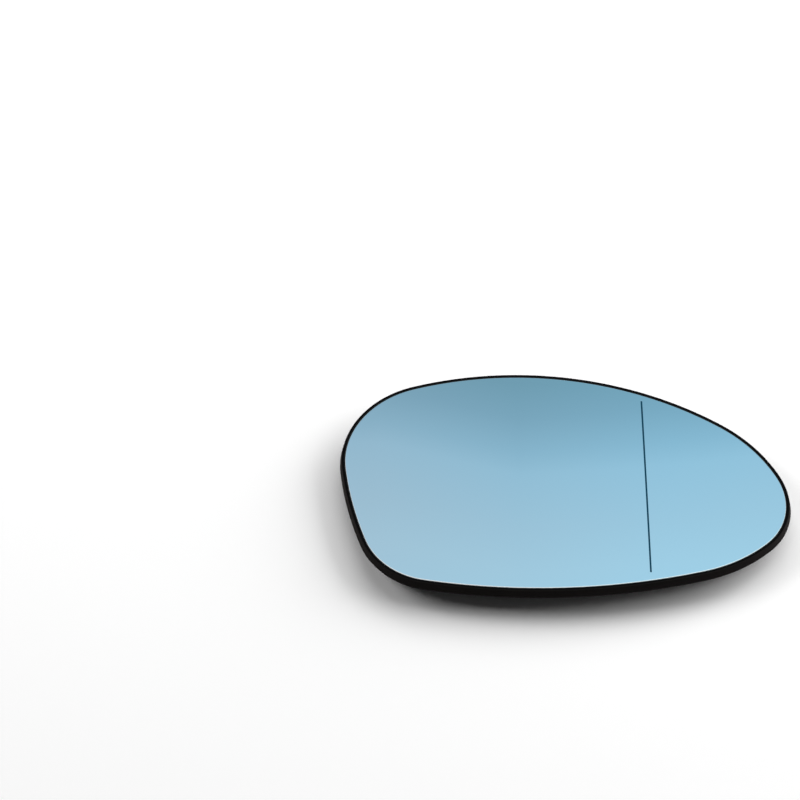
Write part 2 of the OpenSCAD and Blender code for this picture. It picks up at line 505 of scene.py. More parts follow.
GLASS_FINISHES = {
    GlassFinish.COATED: MirrorCoating(),
    GlassFinish.GROUND: MottledFinish(
        "ground_glass_edge",
        dark=(0.7, 0.82, 0.86),
        light=(0.86, 0.93, 0.95),
        grain=0.25 * MM,
        detail=4.0,
        relief=0.01 * MM,
        roughness=0.16,
        metallic=0.9,
    ),
    GlassFinish.BACK: MottledFinish(
        "grey_back_paint",
        dark=(0.15, 0.16, 0.17),
        light=(0.2, 0.21, 0.22),
        grain=1.4 * MM,
        detail=3.0,
        relief=0.02 * MM,
        roughness=0.5,
    ),
    GlassFinish.LINE: MottledFinish(
        "etched_dividing_line",
        dark=(0.001, 0.04, 0.075),
        light=(0.002, 0.052, 0.092),
        grain=0.12 * MM,
        detail=3.0,
        relief=0.008 * MM,
        roughness=0.45,
        gloss=0.06,
    ),
}

CARRIER_FINISHES = {
    # Painted shade: the lip is the same black plastic as the back but coloured far darker and given almost
    # no gloss, in place of the dark reflection that its top shows
    CarrierFinish.LIP: MouldedPlastic(
        "satin_carrier_lip_painted_shade",
        shade=(0.0012, 0.0013, 0.0015),
        lit=(0.0022, 0.0023, 0.0026),
        grain=0.12 * MM,
        relief=0.004 * MM,
        roughness=0.3,
        gloss=0.025,
    ),
    # Painted reflection: the wall is the same black plastic, coloured a lighter brown-grey with almost no
    # gloss, so its colour stands in for the white floor's reflection; its rougher eroded texture is real
    CarrierFinish.WALL: MouldedPlastic(
        "eroded_carrier_wall_painted_floor_reflection",
        shade=(0.013, 0.0115, 0.011),
        lit=(0.019, 0.0165, 0.0158),
        grain=0.16 * MM,
        relief=0.02 * MM,
        roughness=0.5,
        gloss=0.02,
    ),
    CarrierFinish.BACK: MouldedPlastic(
        "carrier_back",
        shade=(0.009, 0.009, 0.0095),
        lit=(0.013, 0.013, 0.014),
        grain=0.16 * MM,
        relief=0.012 * MM,
        roughness=0.42,
        gloss=0.35,
    ),
}


# Form of the glass


@dataclass(frozen=True)
class Arc:
    """One arc of the outline. A radius of None is worked out so that the outline closes."""

    turn: float
    radius: float | None = None


@dataclass(frozen=True)
class EdgePoint:
    """A point on the edge of the glass and the direction in which the edge faces there."""

    at: Vector
    out: Vector


def towards(angle: float) -> Vector:
    """Gives the unit vector in plan in a direction in radians, anticlockwise from +X."""
    return Vector((math.cos(angle), math.sin(angle)))


@dataclass
class Outline:
    """Edge of the glass in plan: eight arcs that run smoothly into one another."""

    length: float = 178 * MM
    height: float = 106 * MM
    start: float = -47.0
    tip: Arc = Arc(73.0, 28.5 * MM)
    upper_bend: Arc = Arc(30.0, 62 * MM)
    upper_edge: Arc = Arc(49.5, 152 * MM)
    upper_corner: Arc = Arc(82.0, 37.5 * MM)
    inner_edge: Arc = Arc(13.0)
    lower_corner: Arc = Arc(58.5, 31.5 * MM)
    lower_edge: Arc = Arc(26.5)
    lower_bend: Arc = Arc(27.5, 62 * MM)

    def _arcs(self) -> list[tuple[float, float, float]]:
        """Closes the outline.

        Returns:
            First direction, turn and radius of each arc, anticlockwise from the tip.
        """
        arcs = [
            self.tip,
            self.upper_bend,
            self.upper_edge,
            self.upper_corner,
            self.inner_edge,
            self.lower_corner,
            self.lower_edge,
            self.lower_bend,
        ]
        unit = math.tau / sum(arc.turn for arc in arcs)
        firsts = [math.radians(self.start) + unit * sum(a.turn for a in arcs[:i]) for i in range(len(arcs))]
        turns = [unit * arc.turn for arc in arcs]
        ways = [towards(first + turn) - towards(first) for first, turn in zip(firsts, turns)]
        gap = -sum(((arc.radius or 0.0) * way for arc, way in zip(arcs, ways)), Vector((0.0, 0.0)))
        one, two = (i for i, arc in enumerate(arcs) if arc.radius is None)
        closing = ways[one].cross(ways[two])
        solved = {one: gap.cross(ways[two]) / closing, two: ways[one].cross(gap) / closing}
        return [(firsts[i], turns[i], solved.get(i, arc.radius)) for i, arc in enumerate(arcs)]

    def points(self, count: int) -> list[EdgePoint]:
        """Walks round the edge in equal steps.

        Args:
            count: Number of points.

        Returns:
            The points, anticlockwise from the lower end of the tip.
        """
        arcs = self._arcs()
        step = sum(turn * radius for _, turn, radius in arcs) / count
        drawn: list[tuple[Vector, float]] = []
        corner, travelled = Vector((0.0, 0.0)), 0.0
        for first, turn, radius in arcs:
            while len(drawn) * step < travelled + turn * radius - HAIR and len(drawn) < count:
                angle = first + (len(drawn) * step - travelled) / radius
                drawn.append((corner + radius * (towards(angle) - towards(first)), angle))
            corner = corner + radius * (towards(first + turn) - towards(first))
            travelled += turn * radius
        low = Vector(min(at[axis] for at, _ in drawn) for axis in (0, 1))
        high = Vector(max(at[axis] for at, _ in drawn) for axis in (0, 1))
        scale = Vector((self.length / (high.x - low.x), self.height / (high.y - low.y)))
        middle = (low + high) / 2
        return [
            EdgePoint(
                Vector(((at.x - middle.x) * scale.x, (at.y - middle.y) * scale.y)),
                Vector((math.cos(angle) / scale.x, math.sin(angle) / scale.y)).normalized(),
            )
            for at, angle in drawn
        ]


@dataclass
class MirrorFace:
    """Front face of the glass: one radius as far as the dividing line, then tightening."""

    top: float = 15 * MM
    main_radius: float = 1400 * MM
    wide_radius: float = 350 * MM
    line_x: float = 33 * MM
    line_inset: float = 56 * MM

    @property
    def wide_rate(self) -> float:
        """Rise of the curvature per metre past the dividing line."""
        return (1 / self.wide_radius - 1 / self.main_radius) / self.line_inset

    def height(self, x: float, y: float, depth: float = 0.0) -> float:
        """Gives the height of the surface that lies a depth below the face.

        Args:
            x: Place along the glass.
            y: Place across the glass.
            depth: Depth below the face.

        Returns:
            Its height above the foot.
        """
        past = max(0.0, x - self.line_x)
        fall = self.main_radius - math.sqrt(self.main_radius**2 - x**2) + self.wide_rate * past**3 / 6
        return self.top - self.main_radius + math.sqrt((self.main_radius - fall - depth) ** 2 - y**2)

    def seat(self, x: float, y: float, depth: float) -> Matrix:
        """Gives the placing of something that sits square on a surface below the face.

        Args:
            x: Place along the glass.
            y: Place across the glass.
            depth: Depth below the face.

        Returns:
            The placing.
        """
        past = max(0.0, x - self.line_x)
        slope = math.atan(x / self.main_radius + self.wide_rate * past**2 / 2)
        lean = Matrix.Rotation(slope, 4, "Y") @ Matrix.Rotation(-math.asin(y / self.main_radius), 4, "X")
        return Matrix.Translation((x, y, self.height(x, y, depth))) @ lean


@dataclass(frozen=True)
class Ring:
    """One ring of a loft round the outline.

    Attributes:
        share: Its size as a share of the outline.
        outside: How far it lies outside the edge of the glass.
        depth: Its depth below the face.
        rounding: Width by which its edge is rounded off.
        finish: Number of the finish between this ring and the next.
    """

    share: float = 1.0
    outside: float = 0.0
    depth: float = 0.0
    rounding: float = 0.0
    finish: int = 0


@dataclass
class Layers:
    """Thicknesses of the layers under the face, and the depths that they come to."""

    glass: float = 2.0 * MM
    bond: float = 0.05 * MM
    pad: float = 0.8 * MM
    plate: float = 1.5 * MM
    rib: float = 3.0 * MM

    @property
    def pad_top(self) -> float:
        """Depth of the pad's upper face."""
        return self.glass + self.bond

    @property
    def pad_bottom(self) -> float:
        """Depth of the pad's lower face."""
        return self.pad_top + self.pad

    @property
    def plate_top(self) -> float:
        """Depth of the plate's upper face."""
        return self.pad_bottom + self.bond

    @property
    def plate_middle(self) -> float:
        """Depth of the middle of the plate."""
        return self.plate_top + self.plate / 2

    @property
    def plate_bottom(self) -> float:
        """Depth of the plate's lower face."""
        return self.plate_top + self.plate

    @property
    def rib_bottom(self) -> float:
        """Depth of the foot of the ribs."""
        return self.plate_bottom + self.rib


@dataclass
class Form:
    """What every piece shares: the outline, the face, the layers and the place of the socket."""

    outline: Outline = field(default_factory=Outline)
    face: MirrorFace = field(default_factory=MirrorFace)
    layers: Layers = field(default_factory=Layers)
    socket: Vector = field(default_factory=lambda: Vector((-4.5 * MM, -1.5 * MM)))
    edge_points: int = 72

    @cached_property
    def edge(self) -> list[EdgePoint]:
        """Points of the edge from which distances to it are taken."""
        return self.outline.points(self.edge_points)

    def outside(self, at: Vector) -> float:
        """Gives how far a point in plan lies outside the edge, below 0 for one inside it."""
        return max((at - point.at).dot(point.out) for point in self.edge)


def loft(form: Form, rings: Sequence[Ring], segments: int) -> BMesh:
    """Lofts a closed shell through rings that follow the outline and the curve of the glass.

    Args:
        form: The form to follow.
        rings: The rings, the first and the last of them closed to a point.
        segments: Number of points round a ring.

    Returns:
        The shell.
    """
    edge = form.outline.points(segments)
    shell = bmesh.new()
    station = shell.verts.layers.int.new("station")
    level = shell.verts.layers.int.new("level")
    made = bmesh.ops.create_circle(shell, cap_ends=False, segments=segments, radius=1.0)["verts"]
    for vert in made:
        vert[station] = round(math.atan2(vert.co.y, vert.co.x) / math.tau * segments) % segments
    for number, ring in enumerate(rings):
        if number:
            before = set(made)
            rim = [e for e in shell.edges if e.verts[0] in before and e.verts[1] in before]
            grown = bmesh.ops.extrude_edge_only(shell, edges=rim)["geom"]
            made = [part for part in grown if isinstance(part, BMVert)]
            for part in grown:
                if isinstance(part, BMFace):
                    part.material_index = rings[number - 1].finish
        for vert in made:
            point = edge[vert[station]]
            at = ring.share * (point.at + ring.outside * point.out)
            vert.co = (at.x, at.y, form.face.height(at.x, at.y, ring.depth))
            vert[level] = number
    for number, ring in enumerate(rings):
        if ring.rounding:
            corner = [e for e in shell.edges if all(v[level] == number for v in e.verts)]
            round_off(shell, corner, ring.rounding)
    bmesh.ops.remove_doubles(shell, verts=shell.verts, dist=WELD)
    bmesh.ops.recalc_face_normals(shell, faces=shell.faces)
    return shell


def round_off(solid: BMesh, edges: Sequence[BMEdge], width: float, steps: int = 3) -> None:
    """Rounds edges off.

    Args:
        solid: The mesh.
        edges: Its edges to round.
        width: Width of the rounding.
        steps: Number of faces across it.
    """
    bmesh.ops.bevel(
        solid,
        geom=list(edges),
        offset=width,
        offset_type="OFFSET",
        affect="EDGES",
        segments=steps,
        profile=0.5,
        material=-1,
        clamp_overlap=True,
    )


def sharp_edges(solid: BMesh, angle: float) -> list[BMEdge]:
    """Lists the edges that turn by more than an angle in degrees."""
    return [e for e in solid.edges if len(e.link_faces) == 2 and e.calc_face_angle() > math.radians(angle)]


def move(solid: BMesh, *by: float) -> None:
    """Moves a whole mesh."""
    bmesh.ops.translate(solid, verts=solid.verts, vec=by)


def to_object(solid: BMesh, name: str) -> Object:
    """Turns a bmesh into an object at the origin, smooth but for its sharp edges.

    Args:
        solid: The mesh, which is freed.
        name: The object's name.

    Returns:
        The object.
    """
    for part in solid.faces:
        part.smooth = True
    for edge in sharp_edges(solid, SHARP):
        edge.smooth = False
    mesh = bpy.data.meshes.new(name)
    solid.to_mesh(mesh)
    solid.free()
    thing = bpy.data.objects.new(name, mesh)
    bpy.context.scene.collection.objects.link(thing)
    return thing


def combine(
    base: BMesh,
    other: BMesh,
    how: Boolean,
    finish: int = 0,
) -> BMesh:
    """Joins one closed mesh to another or cuts it out of it.

    Args:
        base: The mesh to change, which is freed.
        other: The mesh to join or cut, which is freed.
        how: What to do.
        finish: Number of the finish of the faces that the other mesh gives.

    Returns:
        The new mesh.
    """
    for part in other.faces:
        part.material_index = finish
    body, tool = to_object(base, "body_in_work"), to_object(other, "tool_in_work")
    # Empty slots keep the faces' numbers through the solver
    for mesh in (body.data, tool.data):
        for _ in range(finish + 1):
            mesh.materials.append(None)
    change = body.modifiers.new("change", "BOOLEAN")
    change.operation = how.value
    change.solver = "EXACT"
    change.object = tool
    bpy.context.view_layer.update()
    result = bpy.data.meshes.new_from_object(body.evaluated_get(bpy.context.evaluated_depsgraph_get()))
    changed = bmesh.new()
    changed.from_mesh(result)
    for used in (body, tool):
        bpy.data.meshes.remove(used.data)
    bpy.data.meshes.remove(result)
    close_cracks(changed)
    return changed


def close_cracks(solid: BMesh) -> None:
    """Welds the doubles that a boolean leaves and fills the hair cracks between them.

    Args:
        solid: The mesh.
    """
    bmesh.ops.remove_doubles(solid, verts=solid.verts, dist=WELD / 2)
    cracks = [edge for edge in solid.edges if edge.is_boundary]
    bmesh.ops.holes_fill(solid, edges=cracks, sides=0)


def finish_piece(solid: BMesh, name: str, node: str, finishes: Sequence[Finish]) -> None:
    """Turns a mesh into a piece of the part that stands for its CAD node.

    Args:
        solid: The mesh, which is freed.
        name: The piece's name.
        node: The CAD node that it replaces.
        finishes: Its finishes, in the order of the faces' numbers.
    """
    piece = to_object(solid, name)
    for finish in finishes:
        piece.data.materials.append(finish.make())
    shading = piece.modifiers.new("even_shading", "WEIGHTED_NORMAL")
    shading.mode = "FACE_AREA"
    shading.keep_sharp = True
    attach(piece, BODY)
    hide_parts(node)
    LOG.info("%s: %d faces", name, len(piece.data.polygons))


# Pieces


@dataclass
class MirrorGlass:
    """Blue aspheric glass, ground round its edge, with the dividing line etched in its face."""

    form: Form
    segments: int = 360
    face_rings: int = 26
    back_rings: int = 6
    bevel: float = 0.3 * MM
    back_bevel: float = 0.15 * MM
    face_round: float = 0.08 * MM
    side_round: float = 0.06 * MM
    margin: float = 0.2 * MM
    line_length: float = 85.5 * MM
    line_drop: float = 2.7 * MM
    line_width: float = 0.7 * MM
    line_depth: float = 0.1 * MM
    line_wall: float = 0.06 * MM

    def build(self) -> None:
        """Builds the glass."""
        depth = self.form.layers.glass
        shares = [i / self.face_rings for i in range(self.face_rings)]
        rings = [Ring(share, -self.bevel, finish=GlassFinish.COATED) for share in shares]
        rings += [
            Ring(1.0, -self.bevel - self.margin, finish=GlassFinish.COATED),
            Ring(1.0, -self.bevel, 0.0, self.face_round, GlassFinish.GROUND),
            Ring(1.0, 0.0, self.bevel, self.side_round, GlassFinish.GROUND),
            Ring(1.0, 0.0, depth - self.back_bevel, finish=GlassFinish.GROUND),
        ]
        shares = [1 - i / self.back_rings for i in range(self.back_rings + 1)]
        rings += [Ring(share, -self.back_bevel, depth, finish=GlassFinish.BACK) for share in shares]
        plate = loft(self.form, rings, self.segments)
        self._etch(plate)
        finishes = [GLASS_FINISHES[finish] for finish in GlassFinish]
        finish_piece(plate, "blue_mirror_glass", "mirror_glass", finishes)

    def _etch(self, plate: BMesh) -> None:
        """Cuts the dividing line into the face.

        Args:
            plate: The plate.
        """
        middle = Vector((self.form.face.line_x, -self.line_drop))
        half = Vector((self.line_width / 2, self.line_length / 2))
        for axis, side in ((0, -1), (0, 1), (1, -1), (1, 1)):
            normal, place = Vector((0.0, 0.0, 0.0)), Vector((0.0, 0.0, 0.0))
            normal[axis] = 1.0
            place[axis] = middle[axis] + side * half[axis]
            # The planes along the line cut the whole face, those across it only the line
            reach = Vector((half.x if axis else math.inf, math.inf))
            near = self._coated(plate, middle, reach)
            edges = {e for f in near for e in f.edges}
            verts = {v for f in near for v in f.verts}
            geom = [*near, *edges, *verts]
            bmesh.ops.bisect_plane(plate, geom=geom, dist=WELD, plane_co=place, plane_no=normal)
        cut = self._coated(plate, middle, half)
        made = bmesh.ops.inset_region(
            plate, faces=cut, thickness=self.line_wall, depth=-self.line_depth, use_even_offset=True
        )["faces"]
        for part in cut + made:
            part.material_index = GlassFinish.LINE

    def _coated(self, plate: BMesh, middle: Vector, reach: Vector) -> list[BMFace]:
        """Lists the coated faces near a point in plan.

        Args:
            plate: The plate.
            middle: The point.
            reach: How far along and across the glass their middles may lie from it.

        Returns:
            The faces.
        """
        found = []
        for part in plate.faces:
            away = part.calc_center_median().xy - middle
            near = abs(away.x) < reach.x and abs(away.y) < reach.y
            if near and part.material_index == GlassFinish.COATED:
                found.append(part)
        return found


@dataclass
class HeaterPad:
    """Heating foil on adhesive foam, between the glass and the carrier."""

    form: Form
    segments: int = 240
    rings: int = 10
    margin: float = 1.5 * MM

    def build(self) -> None:
        """Builds the pad."""
        layers = self.form.layers
        shares = [i / self.rings for i in range(self.rings + 1)]
        top = [Ring(share, -self.margin, layers.pad_top) for share in shares]
        bottom = [Ring(share, -self.margin, layers.pad_bottom) for share in reversed(shares)]
        pad = loft(self.form, top + bottom, self.segments)
        finish_piece(pad, "heating_foil_pad", "heater_pad", [HeaterFoil()])


@dataclass
class Carrier:
    """Black moulded carrier: tray with a rounded lip, ribs, and a ring of sprung fingers."""

    form: Form
    segments: int = 360
    plate_rings: int = 12
    edge_gap: float = 0.3 * MM
    rim_thickness: float = 1 * MM
    rim_flare: float = 0.8 * MM
    rim_proud: float = 0.15 * MM
    rim_round: float = 0.4 * MM
    lip_inner_round: float = 0.25 * MM
    rim_depth: float = 5.3 * MM
    step_depth: float = 3.2 * MM
    step_round: float = 0.15 * MM
    step_setback: float = 0.5 * MM
    setback_round: float = 0.1 * MM
    rim_taper: float = 0.4 * MM
    foot_round: float = 0.3 * MM
    skirt_thickness: float = 1.6 * MM
    rib_thickness: float = 1.2 * MM
    rib_runout: float = 12 * MM
    rib_end_rise: float = 0.2 * MM
    rib_bite: float = 0.4 * MM
    rib_round: float = 0.35 * MM
    rib_cuts: int = 24
    radial_ribs: int = 12
    ring_radii: tuple[float, ...] = (44.5 * MM, 66 * MM)
    ring_rise: float = 0.12 * MM
    ring_chamfer: float = 0.3 * MM
    ring_steps: int = 240
    bead_r: float = 29 * MM
    bead_proud: float = 1 * MM
    bead_height: float = 2 * MM
    bead_lead: float = 1.2 * MM
    finger_thickness: float = 2.2 * MM
    finger_corner: float = 28.0
    finger_round: float = 0.18 * MM
    fingers: int = 8
    slot_width: float = 2.5 * MM
    slot_height: float = 8.5 * MM
    root_steps: int = 160
    root_proud: float = 0.03 * MM
    wire_d: float = 1.8 * MM
    wire_height: float = 2.9 * MM
    wire_bite: float = 0.6 * MM
    wire_gap: float = 0.05 * MM
    groove_steps: int = 8
    overlap: float = 0.5 * MM

    @property
    def finger_inner(self) -> float:
        """Radius inside the fingers, above the beads."""
        return self.bead_r + self.bead_proud

    @property
    def finger_outer(self) -> float:
        """Radius outside the fingers."""
        return self.finger_inner + self.finger_thickness

    @property
    def wire_ring(self) -> float:
        """Radius of the retaining spring's centre line."""
        return self.finger_outer + self.wire_d / 2 - self.wire_bite

    @property
    def wall_height(self) -> float:
        """Height that a rib is made with, from the middle of the plate to its foot."""
        return self.form.layers.rib_bottom - self.form.layers.plate_middle

    def build(self, windows: Sequence[BMesh]) -> None:
        """Builds the carrier.

        Args:
            windows: Closed meshes of the windows to cut for the heater blades.
        """
        solid = self._tray()
        for part in (*self._radial_walls(), *self._ring_walls(), self._socket_top(), *self._fingers()):
            solid = combine(solid, part, Boolean.JOIN, CarrierFinish.BACK)
        for window in windows:
            solid = combine(solid, window, Boolean.CUT, CarrierFinish.BACK)
        finishes = [CARRIER_FINISHES[finish] for finish in CarrierFinish]
        finish_piece(solid, "moulded_carrier", "carrier", finishes)

    def _tray(self) -> BMesh:
        """Builds the plate and the rim.

        Returns:
            The tray.
        """
        lip, wall, back = CarrierFinish
        layers = self.form.layers
        outer = self.edge_gap + self.rim_thickness
        step = outer + self.rim_flare
        lower = step - self.step_setback
        foot = lower - self.rim_taper
        inner = foot - self.skirt_thickness
        shares = [i / self.plate_rings for i in range(self.plate_rings)]
        rings = [Ring(share, self.edge_gap, layers.plate_top, finish=back) for share in (*shares, 1.0)]
        rings += [
            Ring(1.0, self.edge_gap, -self.rim_proud, self.lip_inner_round, lip),
            Ring(1.0, outer, -self.rim_proud, self.rim_round, wall),
            Ring(1.0, step, self.step_depth, self.step_round, wall),
            Ring(1.0, lower, self.step_depth + self.step_setback / 2, self.setback_round, wall),
            Ring(1.0, foot, self.rim_depth, self.foot_round, back),
            Ring(1.0, inner, self.rim_depth, self.foot_round, back),
            Ring(1.0, inner, layers.plate_bottom, self.foot_round, back),
        ]
        rings += [Ring(share, inner, layers.plate_bottom, finish=back) for share in reversed(shares)]
        return loft(self.form, rings, self.segments)

    def _foot_depth(self, at: Vector) -> float:
        """Gives the depth below the face of a rib's foot, which runs out towards the rim.

        Args:
            at: Place in plan.

        Returns:
            The depth.
        """
        share = min(1.0, max(0.0, -self.form.outside(at) / self.rib_runout))
        shallow = self.rim_depth - self.rib_end_rise
        return shallow + share * (self.form.layers.rib_bottom - shallow)

    def _drape(self, wall: BMesh, rise: float = 0.0) -> BMesh:
        """Fits a flat-footed wall between the plate and the line to which the ribs run out.

        Args:
            wall: The wall, with its head at height 0 and its foot below.
            rise: How much its foot stays above that line.

        Returns:
            The wall.
        """
        head = self.form.layers.plate_middle
        for vert in wall.verts:
            at = Vector(vert.co.xy)
            foot = self._foot_depth(at) - rise
            depth = head + (foot - head) * -vert.co.z / self.wall_height
            vert.co.z = self.form.face.height(at.x, at.y, depth)
        bmesh.ops.recalc_face_normals(wall, faces=wall.faces)
        return wall

    def _reach(self, angle: float) -> float:
        """Measures from the socket's axis to where a rib ends inside the rim.

        Args:
            angle: Direction of the measurement.

        Returns:
            The distance.
        """
        near, far = 0.0, self.form.outline.length
        while far - near > FINE:
            middle = (near + far) / 2
            if self.form.outside(self.form.socket + middle * towards(angle)) <= self.rib_bite:
                near = middle
            else:
                far = middle
        return near

    def _radial_walls(self) -> list[BMesh]:
        """Builds the ribs that radiate from the socket.

        Returns:
            The ribs.
        """
        walls = []
        for number in range(self.radial_ribs):
            angle = math.tau * (number + 0.5) / self.radial_ribs
            inner = self.finger_outer - self.overlap
            wall = bmesh.new()
            bmesh.ops.create_cube(wall, size=1.0)
            move(wall, 0.5, 0.0, -0.5)
            size = (self._reach(angle) - inner, self.rib_thickness, self.wall_height)
            bmesh.ops.scale(wall, verts=wall.verts, vec=size)
            along = self._lengthwise(wall)
            feet = [e for e in along if all(v.co.z < -self.wall_height / 2 for v in e.verts)]
            round_off(wall, feet, self.rib_round)
            along = self._lengthwise(wall)
            bmesh.ops.subdivide_edges(wall, edges=along, cuts=self.rib_cuts, use_grid_fill=True)
            move(wall, inner, 0.0, 0.0)
            turned = Matrix.Rotation(angle, 3, "Z")
            bmesh.ops.rotate(wall, verts=wall.verts, cent=(0.0, 0.0, 0.0), matrix=turned)
            move(wall, *self.form.socket, 0.0)
            walls.append(self._drape(wall))
        return walls

    def _lengthwise(self, wall: BMesh) -> list[BMEdge]:
        """Lists the edges that run along a rib before it is turned."""
        return [e for e in wall.edges if abs(e.verts[0].co.x - e.verts[1].co.x) > self.rib_thickness]

    def _ring_walls(self) -> list[BMesh]:
        """Builds the ring ribs round the socket, where they lie within the rim.

        Returns:
            The ribs.
        """
        walls = []
        steps = self.ring_steps
        for radius in self.ring_radii:
            places = [self.form.socket + radius * towards(math.tau * i / steps) for i in range(steps)]
            held = [self.form.outside(place) <= self.rib_bite for place in places]
            if all(held):
                walls.append(self._ring_wall(radius, 0.0, math.tau))
                continue
            starts = [i for i in range(steps) if held[i] and not held[i - 1]]
            for start in starts:
                count = next(k for k in range(steps) if not held[(start + k) % steps]) - 1
                walls.append(self._ring_wall(radius, math.tau * start / steps, math.tau * count / steps))
        return walls

    def _ring_wall(self, radius: float, start: float, turn: float) -> BMesh:
        """Builds one stretch of a ring rib.

        Args:
            radius: Radius of its centre line.
            start: Direction in which it starts.
            turn: Angle that it turns through.

        Returns:
            The rib.
        """
        height, chamfer = self.wall_height, self.ring_chamfer
        inner, outer = radius - self.rib_thickness / 2, radius + self.rib_thickness / 2
        section = [
            (inner, 0.0),
            (inner, chamfer - height),
            (inner + chamfer, -height),
            (outer - chamfer, -height),
            (outer, chamfer - height),
            (outer, 0.0),
        ]
        wall = revolve(section, start, turn, math.degrees(math.tau) / self.ring_steps)
        move(wall, *self.form.socket, 0.0)
        return self._drape(wall, self.ring_rise)

    def _socket_top(self) -> BMesh:
        """Builds the closed top of the socket wall, from which the fingers hang.

        Returns:
            The ring.
        """
        top = self.form.face.height(0.0, self.finger_outer, self.form.layers.plate_middle)
        inner, outer = self.finger_inner - self.root_proud, self.finger_outer + self.root_proud
        section = [(inner, self.slot_height), (outer, self.slot_height), (outer, top), (inner, top)]
        ring = revolve(section, 0.0, math.tau, math.degrees(math.tau) / self.root_steps)
        move(ring, *self.form.socket, 0.0)
        return ring

    def _finger_section(self) -> list[tuple[float, float]]:
        """Lists the corners of a finger's section: lead-in, bead, inner face, outer face and groove.

        Returns:
            Radius and height of each corner.
        """
        bead_top = self.bead_lead + self.bead_height
        groove = self.wire_d / 2 + self.wire_gap
        reach = self.wire_ring - self.finger_outer
        opening = math.acos(reach / groove)
        turns = [opening * (2 * i / self.groove_steps - 1) for i in range(self.groove_steps + 1)]
        notch = [
            (self.wire_ring - groove * math.cos(turn), self.wire_height + groove * math.sin(turn))
            for turn in turns
        ]
        head = self.slot_height + self.overlap
        return [
            (self.finger_outer, 0.0),
            *notch,
            (self.finger_outer, head),
            (self.finger_inner, head),
            (self.finger_inner, bead_top + self.bead_proud),
            (self.bead_r, bead_top),
            (self.bead_r, self.bead_lead),
            (self.finger_inner, 0.0),
        ]

    def _fingers(self) -> list[BMesh]:
        """Builds the sprung fingers.

        Returns:
            The fingers.
        """
        pitch = math.tau / self.fingers
        gap = self.slot_width / self.finger_inner
        made = []
        for number in range(self.fingers):
            finger = revolve(self._finger_section(), (number - 0.5) * pitch + gap / 2, pitch - gap)
            round_off(finger, sharp_edges(finger, self.finger_corner), self.finger_round, 2)
            move(finger, *self.form.socket, 0.0)
            made.append(finger)
        return made


def revolve(section: Sequence[tuple[float, float]], start: float, turn: float, step: float = 2.0) -> BMesh:
    """Spins a section about the Z axis.

    Args:
        section: Radius and height of each corner.
        start: Direction in which it starts.
        turn: Angle that it turns through.
        step: Largest angle of one step, in degrees.

    Returns:
        The closed solid.
    """
    solid = bmesh.new()
    corners = [solid.verts.new((radius, 0.0, height)) for radius, height in section]
    first = solid.faces.new(corners)
    bmesh.ops.rotate(solid, verts=solid.verts, cent=(0.0, 0.0, 0.0), matrix=Matrix.Rotation(start, 3, "Z"))
    whole = math.isclose(turn, math.tau)
    geom = list(solid.verts) + list(solid.edges) + ([] if whole else [first])
    if whole:
        bmesh.ops.delete(solid, geom=[first], context="FACES_ONLY")
    bmesh.ops.spin(
        solid,
        geom=geom,
        cent=(0.0, 0.0, 0.0),
        axis=(0.0, 0.0, 1.0),
        angle=turn,
        steps=math.ceil(math.degrees(turn) / step),
        use_merge=whole,
    )
    bmesh.ops.remove_doubles(solid, verts=solid.verts, dist=WELD)
    bmesh.ops.recalc_face_normals(solid, faces=solid.faces)
    return solid


@dataclass
class RetainingSpring:
    """Open ring of spring wire in the fingers' groove, open towards the lower edge."""

    form: Form
    ring: float
    wire_d: float
    height: float
    gap: float = 26.0
    sides: int = 24
    end_corner: float = 60.0
    end_round: float = 0.3 * MM

    def build(self) -> None:
        """Builds the spring."""
        section = [
            (self.ring + self.wire_d / 2 * math.cos(a), self.height + self.wire_d / 2 * math.sin(a))
            for a in (math.tau * i / self.sides for i in range(self.sides))
        ]
        start = math.radians(self.gap / 2 - 90)
        wire = revolve(section, start, math.radians(360 - self.gap))
        round_off(wire, sharp_edges(wire, self.end_corner), self.end_round)
        move(wire, *self.form.socket, 0.0)
        finish_piece(wire, "retaining_spring_wire", "retaining_spring", [SpringSteel()])


